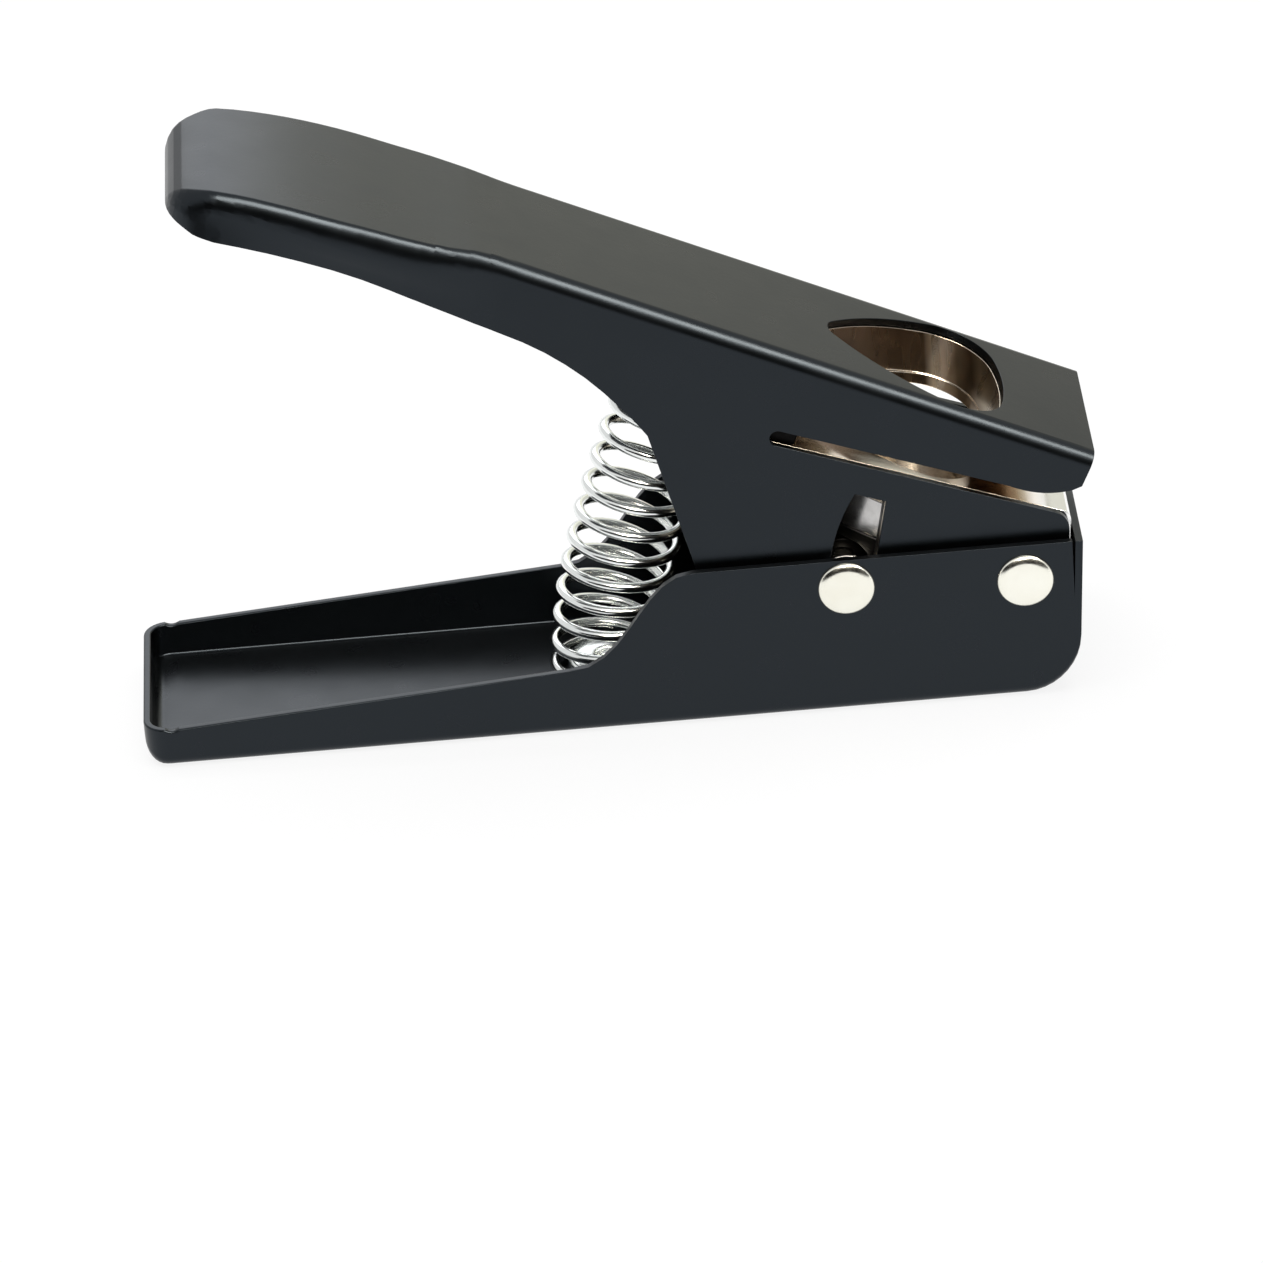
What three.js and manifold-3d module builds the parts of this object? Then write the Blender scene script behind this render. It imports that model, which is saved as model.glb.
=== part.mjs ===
// Hand punch that cuts plectrums out of plastic sheet.
// Millimetres, +Z up. The flat base lies on Z = 0, X = 0 is the middle of its length,
// +X points to the jaws and Y = 0 is the mid-plane.

import * as THREE from 'three';
import { mergeVertices } from 'three/addons/utils/BufferGeometryUtils.js';
import Module from 'manifold-3d';

const wasm = await Module();
wasm.setup();

const degrees = Math.PI / 180;

// Sizes of the bent sheet
const sheet = 1.2;
const trayBend = 1.7;
const bodyBend = 2.4;

// Sizes of the lower handle
const baseLength = 151.5;
const baseWidth = 36.3;
const wallHeight = 27.25;
const frontLean = 1.0;
const noseRound = 9;
const heelRound = 3;
const heelCorner = 4;
const cornerRelief = 0.5;
const cheekLength = 62.15;
const riseLength = 20.6;
const riseUpperEase = 8.6;
const riseLowerEase = 9.8;
const trayFrontHeight = 11.3;
const trayHeelHeight = 6.8;
const heelNotchReach = 3.45;
const heelNotchLength = 2.4;
const heelNotchDepth = 0.4;

// Sizes of the upper handle, from the pivot along its web and square to it
const bodyWidth = 31.7;
const gripWidth = 34.5;
const gripBend = 1.8;
const gripBendDepth = 3.5;
const gripStart = 94;
const gripBlend = 17;
const gripReach = 149.3;
const webHeight = 23.2;
const sweepStart = 119;
const sweepRadius = 84;
const tailRound = 8;
const tailCorner = 7;
const frontReach = 2.65;
const lugRadius = 7.1;
const flangeDrop = 17.8;
const flangeToe = 27;
const flangeHeel = 48.9;
const gripNotchReach = 65.5;
const gripNotchHeight = 2.5;
const lipLean = 4 * degrees;
const lipRound = 2.8;
const openPitch = 25.25 * degrees;
const squeeze = 26 * degrees;

// Sizes of the linkage
const pivotSetback = 9.45;
const pivotHeight = 21;
const armRadius = 28.53;
const armTilt = 2.61 * degrees;
const pinRadius = 2.2;
const rollerRadius = 4;
const rollerLength = 18;
const rivetHeadRadius = 4.55;
const rivetHeadHeight = 0.8;
const rivetDome = 0.35;
const washerRadius = 5;
const washerThickness = 0.5;

// Sizes of the plectrum, the card slot, the die and the punch
const pickLength = 29;
const pickWidth = 25.9;
const pickTipRadius = 2.6;
const pickSideRadius = 41.2;
const pickShoulderRadius = 7.5;
const pickBaseRadius = 32.2;
const pickSetback = 40.57;
const slotLift = 8.23;
const slotTilt = 5.05 * degrees;
const slotHeight = 2.6;
const slotTail = 5.35;
const mouthLength = 11;
const mouthRise = 2.9;
const mouthRound = 1.2;
const landHeight = 2;
const windowMargin = 0.6;
const windowShift = 0.43;
const reliefMargin = 0.55;
const blockTail = 9.5;
const blockLip = 0.15;
const blockNoseReach = 7.6;
const blockNoseRound = 1.5;
const stopReach = 2.2;
const headHeight = 6;
const punchProud = 0.5;
const carrierWall = 2.2;

// Sizes of the screws and dowels
const screwRadius = 1.5;
const screwHeadRadius = 2.75;
const screwHeadHeight = 3;
const socketRadius = 1.45;
const socketDepth = 1.5;
const socketSides = 6;
const clampScrewLength = 20;
const punchScrewBite = 4;
const clampSpread = 9;
const dowelRadius = 1.5;
const dowelSpread = 4;
const dowelReach = 6;
const punchScrewSetback = 21.8;
const punchScrewSpread = 6;

// Sizes of the spring and its seats
const springWidth = 18;
const springWire = 1.5;
const springTurns = 16.2;
const endPitch = 2.1;
const endTurns = 0.6;
const endBlend = 0.6;
const springStart = -110 * degrees;
const springFoot = -0.8;
const springSeat = 62.1;
const springBow = 23.4;
const seatRadius = 6.3;
const seatHeight = 3;
const seatChamfer = 0.8;

// Clearances
const seatGap = 0.3;
const headGap = 0.05;
const pinClearance = 0.15;
const slotClearance = 0.35;
const slotFlare = 1.4;
const rollerClearance = 0.35;
const blockClearance = 0.4;
const boreClearance = 0.12;
const carrierClearance = 0.35;
const overrun = 5;

// Places along the lower edge of the grip: shares of the way from its notch to its end,
// and of the web's height
const gripEdgeShares = [
  [0.05, 0.21],
  [0.15, 0.37],
  [0.26, 0.47],
  [0.38, 0.505],
  [0.52, 0.56],
  [0.66, 0.585],
  [0.81, 0.555],
  [0.93, 0.497],
  [1, 0.53],
];

// Numbers of facets
const roundSides = 28;
const bendSteps = 6;
const arcSteps = 9;
const pickSteps = 7;
const edgeSteps = 22;
const curlSteps = 8;
const wireSides = 5;

const blackCoat = new THREE.MeshStandardMaterial({ color: 0x2b2e31, roughness: 0.42, metalness: 0.1 });
const nickel = new THREE.MeshStandardMaterial({ color: 0xb9aa98, roughness: 0.22, metalness: 1 });
const zinc = new THREE.MeshStandardMaterial({ color: 0xd4d8d8, roughness: 0.2, metalness: 1 });
const toolSteel = new THREE.MeshStandardMaterial({ color: 0xc2c2c4, roughness: 0.3, metalness: 1 });
const darkSteel = new THREE.MeshStandardMaterial({ color: 0x26262a, roughness: 0.5, metalness: 0.6 });

// Solids

function asSolid(geometry) {
  const bare = new THREE.BufferGeometry();
  bare.setAttribute('position', geometry.getAttribute('position').clone());
  if (geometry.index) bare.setIndex(geometry.index.clone());
  const merged = mergeVertices(bare);
  const triangles = [];
  for (let i = 0; i < merged.index.count; i += 3) {
    const corners = [0, 1, 2].map((k) => merged.index.getX(i + k));
    if (new Set(corners).size === corners.length) triangles.push(...corners);
  }
  return new wasm.Manifold(new wasm.Mesh({
    numProp: 3,
    vertProperties: new Float32Array(merged.getAttribute('position').array),
    triVerts: new Uint32Array(triangles),
  }));
}

function addPart(parent, name, solid, material) {
  const cut = solid.getMesh();
  const geometry = new THREE.BufferGeometry();
  geometry.setAttribute('position', new THREE.BufferAttribute(new Float32Array(cut.vertProperties), 3));
  geometry.setIndex(new THREE.BufferAttribute(new Uint32Array(cut.triVerts), 1));
  const mesh = new THREE.Mesh(geometry, material);
  mesh.name = name;
  parent.add(mesh);
}

// A side outline, drawn in X and Z, as a plate centred on the mid-plane.
function plate(outline, width, steps = arcSteps) {
  const geometry = new THREE.ExtrudeGeometry(outline, {
    depth: width, bevelEnabled: false, curveSegments: steps,
  });
  geometry.rotateX(90 * degrees);
  geometry.translate(0, width / 2, 0);
  return asSolid(geometry);
}

// A plan outline, drawn in X and Y, as a column between two heights.
function column(outline, low, high, frame = new THREE.Matrix4()) {
  const geometry = new THREE.ExtrudeGeometry(outline, {
    depth: high - low, bevelEnabled: false, curveSegments: pickSteps,
  });
  geometry.translate(0, 0, low);
  geometry.applyMatrix4(frame);
  return asSolid(geometry);
}

// A rod along Z between two heights.
function uprightRod(radius, low, high, x, y, frame = new THREE.Matrix4(), sides = roundSides) {
  const geometry = new THREE.CylinderGeometry(radius, radius, high - low, sides);
  geometry.rotateX(90 * degrees);
  geometry.translate(x, y, (low + high) / 2);
  geometry.applyMatrix4(frame);
  return asSolid(geometry);
}

// A turned piece from pairs of radius and height, on an axis along Y or along Z.
function turned(profile, along, x, z) {
  const points = profile.map(([radius, height]) => new THREE.Vector2(radius, height));
  const geometry = new THREE.LatheGeometry(points, roundSides);
  if (along === 'z') geometry.rotateX(90 * degrees);
  geometry.translate(x, 0, z);
  return asSolid(geometry);
}

function crossRod(radius, length, x, z) {
  return turned([[0, -length / 2], [radius, -length / 2], [radius, length / 2], [0, length / 2]], 'y', x, z);
}

function sleeve(inner, outer, low, high, x, z) {
  return turned([[inner, low], [outer, low], [outer, high], [inner, high], [inner, low]], 'y', x, z);
}

// Convex rings with equal counts of points, joined by a skin and closed at both ends.
function loft(rings) {
  const count = rings[0].length;
  const last = (rings.length - 1) * count;
  const triangles = [];
  for (let i = 0; i < last; i += count) {
    for (let k = 0; k < count; k += 1) {
      const a = i + k;
      const b = i + (k + 1) % count;
      triangles.push(a, b, b + count, a, b + count, a + count);
    }
  }
  for (let k = 1; k + 1 < count; k += 1) {
    triangles.push(0, k + 1, k);
    triangles.push(last, last + k, last + k + 1);
  }
  const geometry = new THREE.BufferGeometry();
  geometry.setAttribute('position', new THREE.Float32BufferAttribute(
    rings.flat().flatMap((point) => point.toArray()), 3));
  geometry.setIndex(triangles);
  return asSolid(geometry);
}

// One ring across a channel: a web with two round edges, and walls that run on to a far height.
// The web is a floor when the walls run up and a roof when they run down. The edges are a quarter
// of an ellipse when their depth differs from their radius.
function channelRing({ x, half, radius, depth = radius, web, far, lean = 0 }) {
  const side = Math.sign(far - web);
  const nearHalf = [[-half, far]];
  for (let k = 0; k <= bendSteps; k += 1) {
    const turn = (k / bendSteps) * 90 * degrees;
    nearHalf.push([-half + radius * (1 - Math.cos(turn)), web + side * depth * (1 - Math.sin(turn))]);
  }
  const farHalf = nearHalf.map(([y, z]) => [-y, z]).reverse();
  const ring = [...nearHalf, ...farHalf].map(([y, z]) => new THREE.Vector3(x + lean * (z - noseRound), y, z));
  return side > 0 ? ring : ring.reverse();
}

// How far a quarter round stands back at a depth behind its front.
function roundBack(radius, depth) {
  const left = Math.max(radius - depth, 0);
  return radius - Math.sqrt(radius * radius - left * left);
}

function smooth(share) {
  const held = Math.min(Math.max(share, 0), 1);
  return held * held * (3 - 2 * held);
}

// Where two lines meet, each given by a point and a direction.
function meet(point, along, other, across) {
  const reach = other.clone().sub(point).cross(across) / along.cross(across);
  return point.clone().addScaledVector(along, reach);
}

function lineThrough(outline, points) {
  for (const point of points) outline.lineTo(point.x, point.y);
}

// Frames and places

const heel = -baseLength / 2;
const nose = baseLength / 2;
const baseHalf = baseWidth / 2;
const bodyHalf = bodyWidth / 2;
const gripHalf = gripWidth / 2;
const webUnder = webHeight - sheet;
const wallLean = Math.atan(frontLean / (wallHeight - noseRound));
const blockWidth = bodyWidth - 2 * (sheet + blockClearance);
const blockTop = webUnder - seatGap;

const pivot = new THREE.Vector2(nose - pivotSetback, pivotHeight);
const pin = new THREE.Vector2(
  pivot.x - armRadius * Math.cos(armTilt),
  pivot.y + armRadius * Math.sin(armTilt),
);

// The upper handle's frame lies at the pivot, X along the web to the front and Z square to it.
// The die's frame lies in it, at the plectrum's tip on the slot's lower face, Z along the punch.
const slotAlong = new THREE.Vector2(Math.cos(slotTilt), Math.sin(slotTilt));
const slotUp = new THREE.Vector2(-Math.sin(slotTilt), Math.cos(slotTilt));
const dieOrigin = new THREE.Vector2(-pickSetback, slotLift);
const dieFrame = new THREE.Matrix4().makeRotationY(-slotTilt).setPosition(dieOrigin.x, 0, dieOrigin.y);

function fromDie(along, up) {
  return dieOrigin.clone().addScaledVector(slotAlong, along).addScaledVector(slotUp, up);
}

function toDie(point) {
  const offset = point.clone().sub(dieOrigin);
  return new THREE.Vector2(offset.dot(slotAlong), offset.dot(slotUp));
}

// The driving pin in the die's frame, with the handles closed by an angle.
function pinInDie(closed) {
  return toDie(pin.clone().sub(pivot).rotateAround(new THREE.Vector2(), openPitch - closed));
}

const pivotInDie = toDie(new THREE.Vector2());
const pinOpen = pinInDie(0);
const pinClosed = pinInDie(squeeze);
const travel = pinClosed.y - pinOpen.y;
const landTop = slotHeight + landHeight;
const headTop = landTop + punchProud - travel;
const headBottom = headTop - headHeight;
const carrierTop = headBottom - seatGap;
const crossSlotHalf = rollerRadius + rollerClearance;
const carrierBottom = pinOpen.y - crossSlotHalf - carrierWall;
const windowTip = fromDie(0, landTop).x - windowShift;

// Plectrum outline with its tip at X = 0 and its base towards +X, grown by an offset.
function pickOutline(grow, tip = 0) {
  const tipCentre = new THREE.Vector2(pickTipRadius, 0);
  const baseCentre = new THREE.Vector2(pickLength - pickBaseRadius, 0);
  const shoulderY = pickWidth / 2 - pickShoulderRadius;
  const shoulderReach = pickBaseRadius - pickShoulderRadius;
  const shoulderX = baseCentre.x + Math.sqrt(shoulderReach ** 2 - shoulderY ** 2);
  const shoulderCentre = new THREE.Vector2(shoulderX, shoulderY);
  const span = shoulderCentre.clone().sub(tipCentre);
  const fromTip = pickSideRadius - pickTipRadius;
  const fromShoulder = pickSideRadius - pickShoulderRadius;
  const foot = (span.lengthSq() + fromTip ** 2 - fromShoulder ** 2) / (2 * span.length());
  const across = new THREE.Vector2(span.y, -span.x).normalize();
  const sideCentre = tipCentre.clone()
    .addScaledVector(span.clone().normalize(), foot)
    .addScaledVector(across, Math.sqrt(fromTip ** 2 - foot ** 2));
  const tipTurn = tipCentre.clone().sub(sideCentre).angle();
  const sideTurn = shoulderCentre.clone().sub(sideCentre).angle();
  const baseTurn = shoulderCentre.clone().sub(baseCentre).angle();
  const outline = new THREE.Shape();
  const arc = (centre, radius, from, to, flip = 1) => outline.absarc(
    tip + centre.x, flip * centre.y, radius + grow, from, to, true);
  arc(tipCentre, pickTipRadius, -tipTurn, tipTurn);
  arc(sideCentre, pickSideRadius, tipTurn, sideTurn);
  arc(shoulderCentre, pickShoulderRadius, sideTurn, baseTurn);
  arc(baseCentre, pickBaseRadius, baseTurn, -baseTurn);
  arc(shoulderCentre, pickShoulderRadius, -baseTurn, -sideTurn, -1);
  arc(sideCentre, pickSideRadius, -sideTurn, -tipTurn, -1);
  return outline;
}

// Slot around the path of a rod about the pivot, with a flat upper end that follows the card slot
// and a straight inner edge that flares inwards at the lower end.
function arcSlot(rodRadius, width) {
  const half = rodRadius + slotClearance;
  const outer = armRadius + half;
  const inner = armRadius - half;
  const lowerTurn = 180 * degrees + openPitch - armTilt + half / armRadius;
  const endLevel = pinClosed.y + half - pivotInDie.y;
  const endTurn = (radius) => 180 * degrees + slotTilt - Math.asin(endLevel / radius);
  const outline = new THREE.Shape();
  outline.absarc(0, 0, outer, lowerTurn, endTurn(outer), true);
  outline.lineTo(inner * Math.cos(endTurn(inner)), inner * Math.sin(endTurn(inner)));
  outline.lineTo((inner - slotFlare) * Math.cos(lowerTurn), (inner - slotFlare) * Math.sin(lowerTurn));
  return plate(outline, width);
}

// Lower handle

function trayShell(inset) {
  const rings = [];
  const far = wallHeight + overrun;
  const lean = Math.tan(wallLean);
  const half = baseHalf - inset;
  const radius = trayBend - inset;
  const cornerRadius = heelCorner - inset;
  const noseRadius = noseRound - inset;
  for (let k = 0; k <= arcSteps; k += 1) {
    const back = cornerRadius * (1 - Math.cos((k / arcSteps) * 90 * degrees));
    const narrow = roundBack(cornerRadius, back);
    const web = inset + roundBack(heelRound - inset, back);
    rings.push(channelRing({ x: heel + inset + back, half: half - narrow, radius, web, far }));
  }
  for (let k = arcSteps; k >= 0; k -= 1) {
    const turn = (k / arcSteps) * 90 * degrees;
    const back = noseRadius * (1 - Math.cos(turn));
    const web = inset + roundBack(noseRadius, back);
    const x = nose - frontLean - inset - back;
    rings.push(channelRing({ x, half, radius, web, far, lean: lean * Math.cos(turn) }));
  }
  return loft(rings);
}

function trayOutline() {
  const shoulder = nose - cheekLength;
  const rise = shoulder - riseLength;
  const notch = heel + heelNotchReach;
  const outline = new THREE.Shape();
  outline.moveTo(heel - overrun, -overrun);
  outline.lineTo(nose + overrun, -overrun);
  outline.lineTo(nose + overrun, wallHeight);
  outline.lineTo(shoulder, wallHeight);
  outline.bezierCurveTo(
    shoulder - riseUpperEase, wallHeight, rise + riseLowerEase, trayFrontHeight, rise, trayFrontHeight);
  outline.lineTo(notch + heelNotchLength, trayHeelHeight);
  outline.quadraticCurveTo(
    notch + heelNotchLength / 2, trayHeelHeight - 2 * heelNotchDepth, notch, trayHeelHeight);
  outline.lineTo(heel - overrun, trayHeelHeight);
  return outline;
}

// The gaps between the front wall and the cheeks, open at the top.
function noseRelief() {
  const lean = Math.tan(wallLean);
  const cheekFront = nose - sheet - cornerRelief;
  const outline = new THREE.Shape();
  outline.moveTo(cheekFront, wallHeight - cornerRelief / lean);
  outline.lineTo(nose - sheet + lean * overrun, wallHeight + overrun);
  outline.lineTo(cheekFront, wallHeight + overrun);
  return plate(outline, baseWidth + overrun);
}

function lowerHandle() {
  const hollow = trayShell(sheet).add(noseRelief());
  const holes = [pivot, pin].map(({ x, y }) => crossRod(pinRadius + pinClearance, baseWidth + overrun, x, y));
  return trayShell(0).intersect(plate(trayOutline(), baseWidth + overrun)).subtract(hollow)
    .subtract(holes[0]).subtract(holes[1]);
}

// Rivets, roller and washers

function rivet({ x, y: z }) {
  const seat = baseHalf + headGap;
  const rim = seat + rivetHeadHeight;
  const crown = rim + rivetDome;
  const edge = rivetHeadRadius - rivetDome;
  const half = [
    [pinRadius, seat],
    [rivetHeadRadius, seat],
    [rivetHeadRadius, rim],
    [edge, crown],
    [0, crown],
  ];
  const mirrored = half.map(([radius, height]) => [radius, -height]).reverse();
  return turned([...mirrored, ...half], 'y', x, z);
}

function addLinkage(parent) {
  addPart(parent, 'pivot_rivet', rivet(pivot), zinc);
  addPart(parent, 'drive_rivet', rivet(pin), zinc);
  const bore = pinRadius + pinClearance;
  const roller = sleeve(bore, rollerRadius, -rollerLength / 2, rollerLength / 2, pin.x, pin.y);
  addPart(parent, 'drive_roller', roller, toolSteel);
  const middle = (baseHalf - sheet + bodyHalf) / 2;
  for (const [joint, { x, y: z }] of [['pivot', pivot], ['drive', pin]]) {
    for (const [side, sign] of [['near', -1], ['far', 1]]) {
      const low = sign * middle - washerThickness / 2;
      const washer = sleeve(bore, washerRadius, low, low + washerThickness, x, z);
      addPart(parent, `washer_${joint}_${side}`, washer, toolSteel);
    }
  }
}

// Upper handle

function channelShell(inset) {
  const rings = [];
  const end = -gripReach + inset;
  const tailRadius = tailRound - inset;
  const sweep = sweepRadius - inset;
  const tailX = -(gripReach - tailRound);
  const sweepZ = webHeight - sweepRadius;
  const tailZ = sweepZ + Math.sqrt((sweepRadius - tailRound) ** 2 - (tailX + sweepStart) ** 2);
  const joinTurn = Math.atan2(tailZ - sweepZ, -(tailX + sweepStart));
  const put = (x, web) => {
    const blend = smooth((-x - gripStart) / gripBlend);
    const plan = bodyHalf + (gripHalf - bodyHalf) * blend - inset;
    rings.push(channelRing({
      x,
      web,
      half: plan - roundBack(tailCorner - inset, x - end),
      radius: bodyBend + (gripBend - bodyBend) * blend - inset,
      depth: bodyBend + (gripBendDepth - bodyBend) * blend - inset,
      far: -flangeDrop - overrun,
    }));
  };
  for (let k = 0; k <= arcSteps; k += 1) {
    const turn = (k / arcSteps) * joinTurn;
    put(tailX - tailRadius * Math.cos(turn), tailZ + tailRadius * Math.sin(turn));
  }
  for (let k = 1; k <= arcSteps; k += 1) {
    const turn = joinTurn + (k / arcSteps) * (90 * degrees - joinTurn);
    put(-sweepStart - sweep * Math.cos(turn), sweepZ + sweep * Math.sin(turn));
  }
  for (let k = arcSteps; k >= 0; k -= 1) put(-gripStart - gripBlend * (k / arcSteps), webHeight - inset);
  put(lugRadius + overrun + inset, webHeight - inset);
  return loft(rings);
}

// The front of the lower lip: a face along the card slot, a round nose and a front edge that stands
// almost upright while the handles are open.
function drawLip(outline, { drop, reach, lean, round }) {
  const foot = new THREE.Vector2(reach * Math.cos(openPitch), reach * Math.sin(openPitch));
  const upright = new THREE.Vector2(-Math.sin(openPitch - lean), Math.cos(openPitch - lean));
  const corner = meet(fromDie(0, -drop), slotAlong, foot, upright);
  const back = corner.clone().addScaledVector(slotAlong, -round);
  const down = corner.clone().addScaledVector(upright, -round);
  outline.lineTo(back.x, back.y);
  outline.quadraticCurveTo(corner.x, corner.y, down.x, down.y);
  outline.lineTo(foot.x, foot.y);
}

// The front of the upper lip, from the slot's upper face to the web, with a flared mouth.
function drawMouth(outline, inset) {
  const front = frontReach - inset;
  const rim = fromDie(0, slotHeight + blockLip * (inset / blockClearance));
  const corner = meet(rim, slotAlong, new THREE.Vector2(front, 0), new THREE.Vector2(0, 1));
  const start = corner.clone().addScaledVector(slotAlong, -mouthLength);
  outline.lineTo(start.x, start.y);
  const shoulder = corner.y + mouthRise - mouthRound;
  outline.quadraticCurveTo(corner.x - mouthLength / 2, corner.y - mouthRound, corner.x - mouthRound, shoulder);
  outline.lineTo(corner.x, corner.y + mouthRise);
}

function channelOutline() {
  const lowerFace = fromDie(-slotTail, 0);
  const upperFace = fromDie(-slotTail, slotHeight);
  const slotEnd = fromDie(-slotTail, slotHeight / 2);
  const toeFar = Math.hypot(flangeToe, flangeDrop);
  const toeTurn = Math.atan2(flangeDrop, flangeToe) - Math.asin(lugRadius / toeFar) - 90 * degrees;
  const edge = gripEdgeShares.map(([way, height]) => new THREE.Vector2(
    -gripNotchReach - way * (gripReach - gripNotchReach), height * webHeight));
  const notch = new THREE.Vector2(-gripNotchReach, gripNotchHeight);
  const outline = new THREE.Shape();
  outline.moveTo(frontReach, webHeight + overrun);
  outline.lineTo(-gripReach - overrun, webHeight + overrun);
  outline.lineTo(-gripReach - overrun, edge[edge.length - 1].y);
  lineThrough(outline, new THREE.SplineCurve([...edge.reverse(), notch]).getPoints(edgeSteps));
  outline.lineTo(-flangeHeel, -flangeDrop);
  outline.lineTo(-flangeToe, -flangeDrop);
  outline.absarc(0, 0, lugRadius, toeTurn, openPitch, false);
  const lip = new THREE.Shape();
  lip.moveTo(lowerFace.x, lowerFace.y);
  drawLip(lip, { drop: 0, reach: lugRadius, lean: lipLean, round: lipRound });
  lineThrough(outline, lip.getPoints(arcSteps).reverse());
  const quarter = 90 * degrees;
  outline.absarc(slotEnd.x, slotEnd.y, slotHeight / 2, slotTilt - quarter, slotTilt + quarter, true);
  outline.lineTo(upperFace.x, upperFace.y);
  drawMouth(outline, 0);
  return outline;
}

function upperHandle() {
  const cutters = [
    channelShell(sheet),
    column(pickOutline(windowMargin, windowTip), webUnder - overrun, webHeight + overrun),
    crossRod(pinRadius + pinClearance, gripWidth + overrun, 0, 0),
    arcSlot(pinRadius, gripWidth + overrun),
  ];
  const shell = channelShell(0).intersect(plate(channelOutline(), gripWidth + overrun));
  return cutters.reduce((solid, cutter) => solid.subtract(cutter), shell);
}

// Die, guide and card stop

const fastenerX = -(blockTail + stopReach) / 2;
const topOverFastener = toDie(new THREE.Vector2(fromDie(fastenerX, 0).x, blockTop)).y;
const clampHeadBottom = topOverFastener - screwHeadHeight - seatGap;
const clampScrewEnd = clampHeadBottom - clampScrewLength;

function fastenerHoles(frame) {
  const holes = [];
  const reach = dowelReach + seatGap;
  for (const sign of [-1, 1]) {
    const screwY = sign * clampSpread;
    holes.push(
      uprightRod(screwRadius + seatGap, clampScrewEnd - seatGap, clampHeadBottom, fastenerX, screwY, frame),
      uprightRod(screwHeadRadius + seatGap, clampHeadBottom - seatGap, blockTop + overrun,
        fastenerX, screwY, frame),
      uprightRod(dowelRadius + seatGap, slotHeight / 2 - reach, slotHeight / 2 + reach,
        fastenerX, sign * dowelSpread, frame),
    );
  }
  return holes;
}

function subtractAll(solid, cutters) {
  return cutters.reduce((rest, cutter) => rest.subtract(cutter), solid);
}

function dieBlock() {
  const front = frontReach - blockClearance;
  const rear = fromDie(-blockTail, slotHeight + blockLip);
  const outline = new THREE.Shape();
  outline.moveTo(front, blockTop);
  outline.lineTo(rear.x, blockTop);
  outline.lineTo(rear.x, rear.y);
  drawMouth(outline, blockClearance);
  const ring = { half: blockWidth / 2, radius: bodyBend - sheet, web: blockTop, far: -flangeDrop };
  const roof = loft([
    channelRing({ ...ring, x: rear.x - overrun }),
    channelRing({ ...ring, x: front + overrun }),
  ]);
  const aboveLand = new THREE.Shape([
    fromDie(-overrun, landTop),
    fromDie(pickLength + overrun, landTop),
    fromDie(pickLength + overrun, blockTop + overrun),
    fromDie(-overrun, blockTop + overrun),
  ]);
  const relief = column(pickOutline(reliefMargin, windowTip), -overrun, blockTop + overrun)
    .intersect(plate(aboveLand, blockWidth));
  const bore = column(pickOutline(boreClearance), -overrun, landTop + overrun, dieFrame);
  return subtractAll(plate(outline, blockWidth).intersect(roof), [relief, bore, ...fastenerHoles(dieFrame)]);
}

function guideBlock() {
  const lug = lugRadius - blockClearance;
  const face = fromDie(-blockTail, -blockLip);
  const floor = fromDie(-blockTail, pivotInDie.y - lug);
  const outline = new THREE.Shape();
  outline.moveTo(face.x, face.y);
  drawLip(outline, { drop: blockLip, reach: blockNoseReach, lean: wallLean, round: blockNoseRound });
  outline.absarc(0, 0, lug, openPitch, slotTilt - 90 * degrees, true);
  outline.lineTo(floor.x, floor.y);
  return subtractAll(plate(outline, blockWidth), [
    column(pickOutline(boreClearance), -flangeDrop - overrun, overrun, dieFrame),
    crossRod(pinRadius + pinClearance, blockWidth + overrun, 0, 0),
    arcSlot(pinRadius, blockWidth + overrun),
    arcSlot(rollerRadius, rollerLength + 2 * seatGap),
    ...fastenerHoles(dieFrame),
  ]);
}

function cardStop() {
  const half = blockWidth / 2;
  const corners = [[-blockTail, -half], [-stopReach, -half], [-stopReach, half], [-blockTail, half]];
  const outline = new THREE.Shape(corners.map(([x, y]) => new THREE.Vector2(x, y)));
  const stop = column(outline, seatGap - blockLip, slotHeight + blockLip - seatGap);
  return subtractAll(stop, fastenerHoles(new THREE.Matrix4()));
}

// A socket screw along Z, with its head at the upper end, or at the lower end when flipped.
function socketScrew(length, headBottom, x, y, flip = 1) {
  const rod = (radius, from, to, sides) => uprightRod(
    radius, headBottom + Math.min(flip * from, flip * to), headBottom + Math.max(flip * from, flip * to),
    x, y, new THREE.Matrix4(), sides);
  return rod(screwHeadRadius, 0, screwHeadHeight)
    .add(rod(screwRadius, -length, socketDepth / 2))
    .subtract(rod(socketRadius, screwHeadHeight - socketDepth, screwHeadHeight + overrun, socketSides));
}

function addDie(parent) {
  addPart(parent, 'card_stop', cardStop(), darkSteel);
  const low = slotHeight / 2 - dowelReach;
  const high = slotHeight / 2 + dowelReach;
  for (const [side, sign] of [['near', -1], ['far', 1]]) {
    const screw = socketScrew(clampScrewLength, clampHeadBottom, fastenerX, sign * clampSpread);
    addPart(parent, `clamp_screw_${side}`, screw, darkSteel);
    const dowel = uprightRod(dowelRadius, low, high, fastenerX, sign * dowelSpread);
    addPart(parent, `dowel_${side}`, dowel, toolSteel);
  }
}

// Punch

const punchScrewHead = carrierBottom + seatGap + screwHeadHeight;
const punchScrewLength = headBottom + punchScrewBite - punchScrewHead;

function punchHoles() {
  return [-1, 1].flatMap((sign) => {
    const y = sign * punchScrewSpread;
    const top = headBottom + punchScrewBite + seatGap;
    const seat = punchScrewHead + seatGap;
    return [
      uprightRod(screwRadius + seatGap, carrierBottom, top, punchScrewSetback, y),
      uprightRod(screwHeadRadius + seatGap, carrierBottom - overrun, seat, punchScrewSetback, y),
    ];
  });
}

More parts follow.
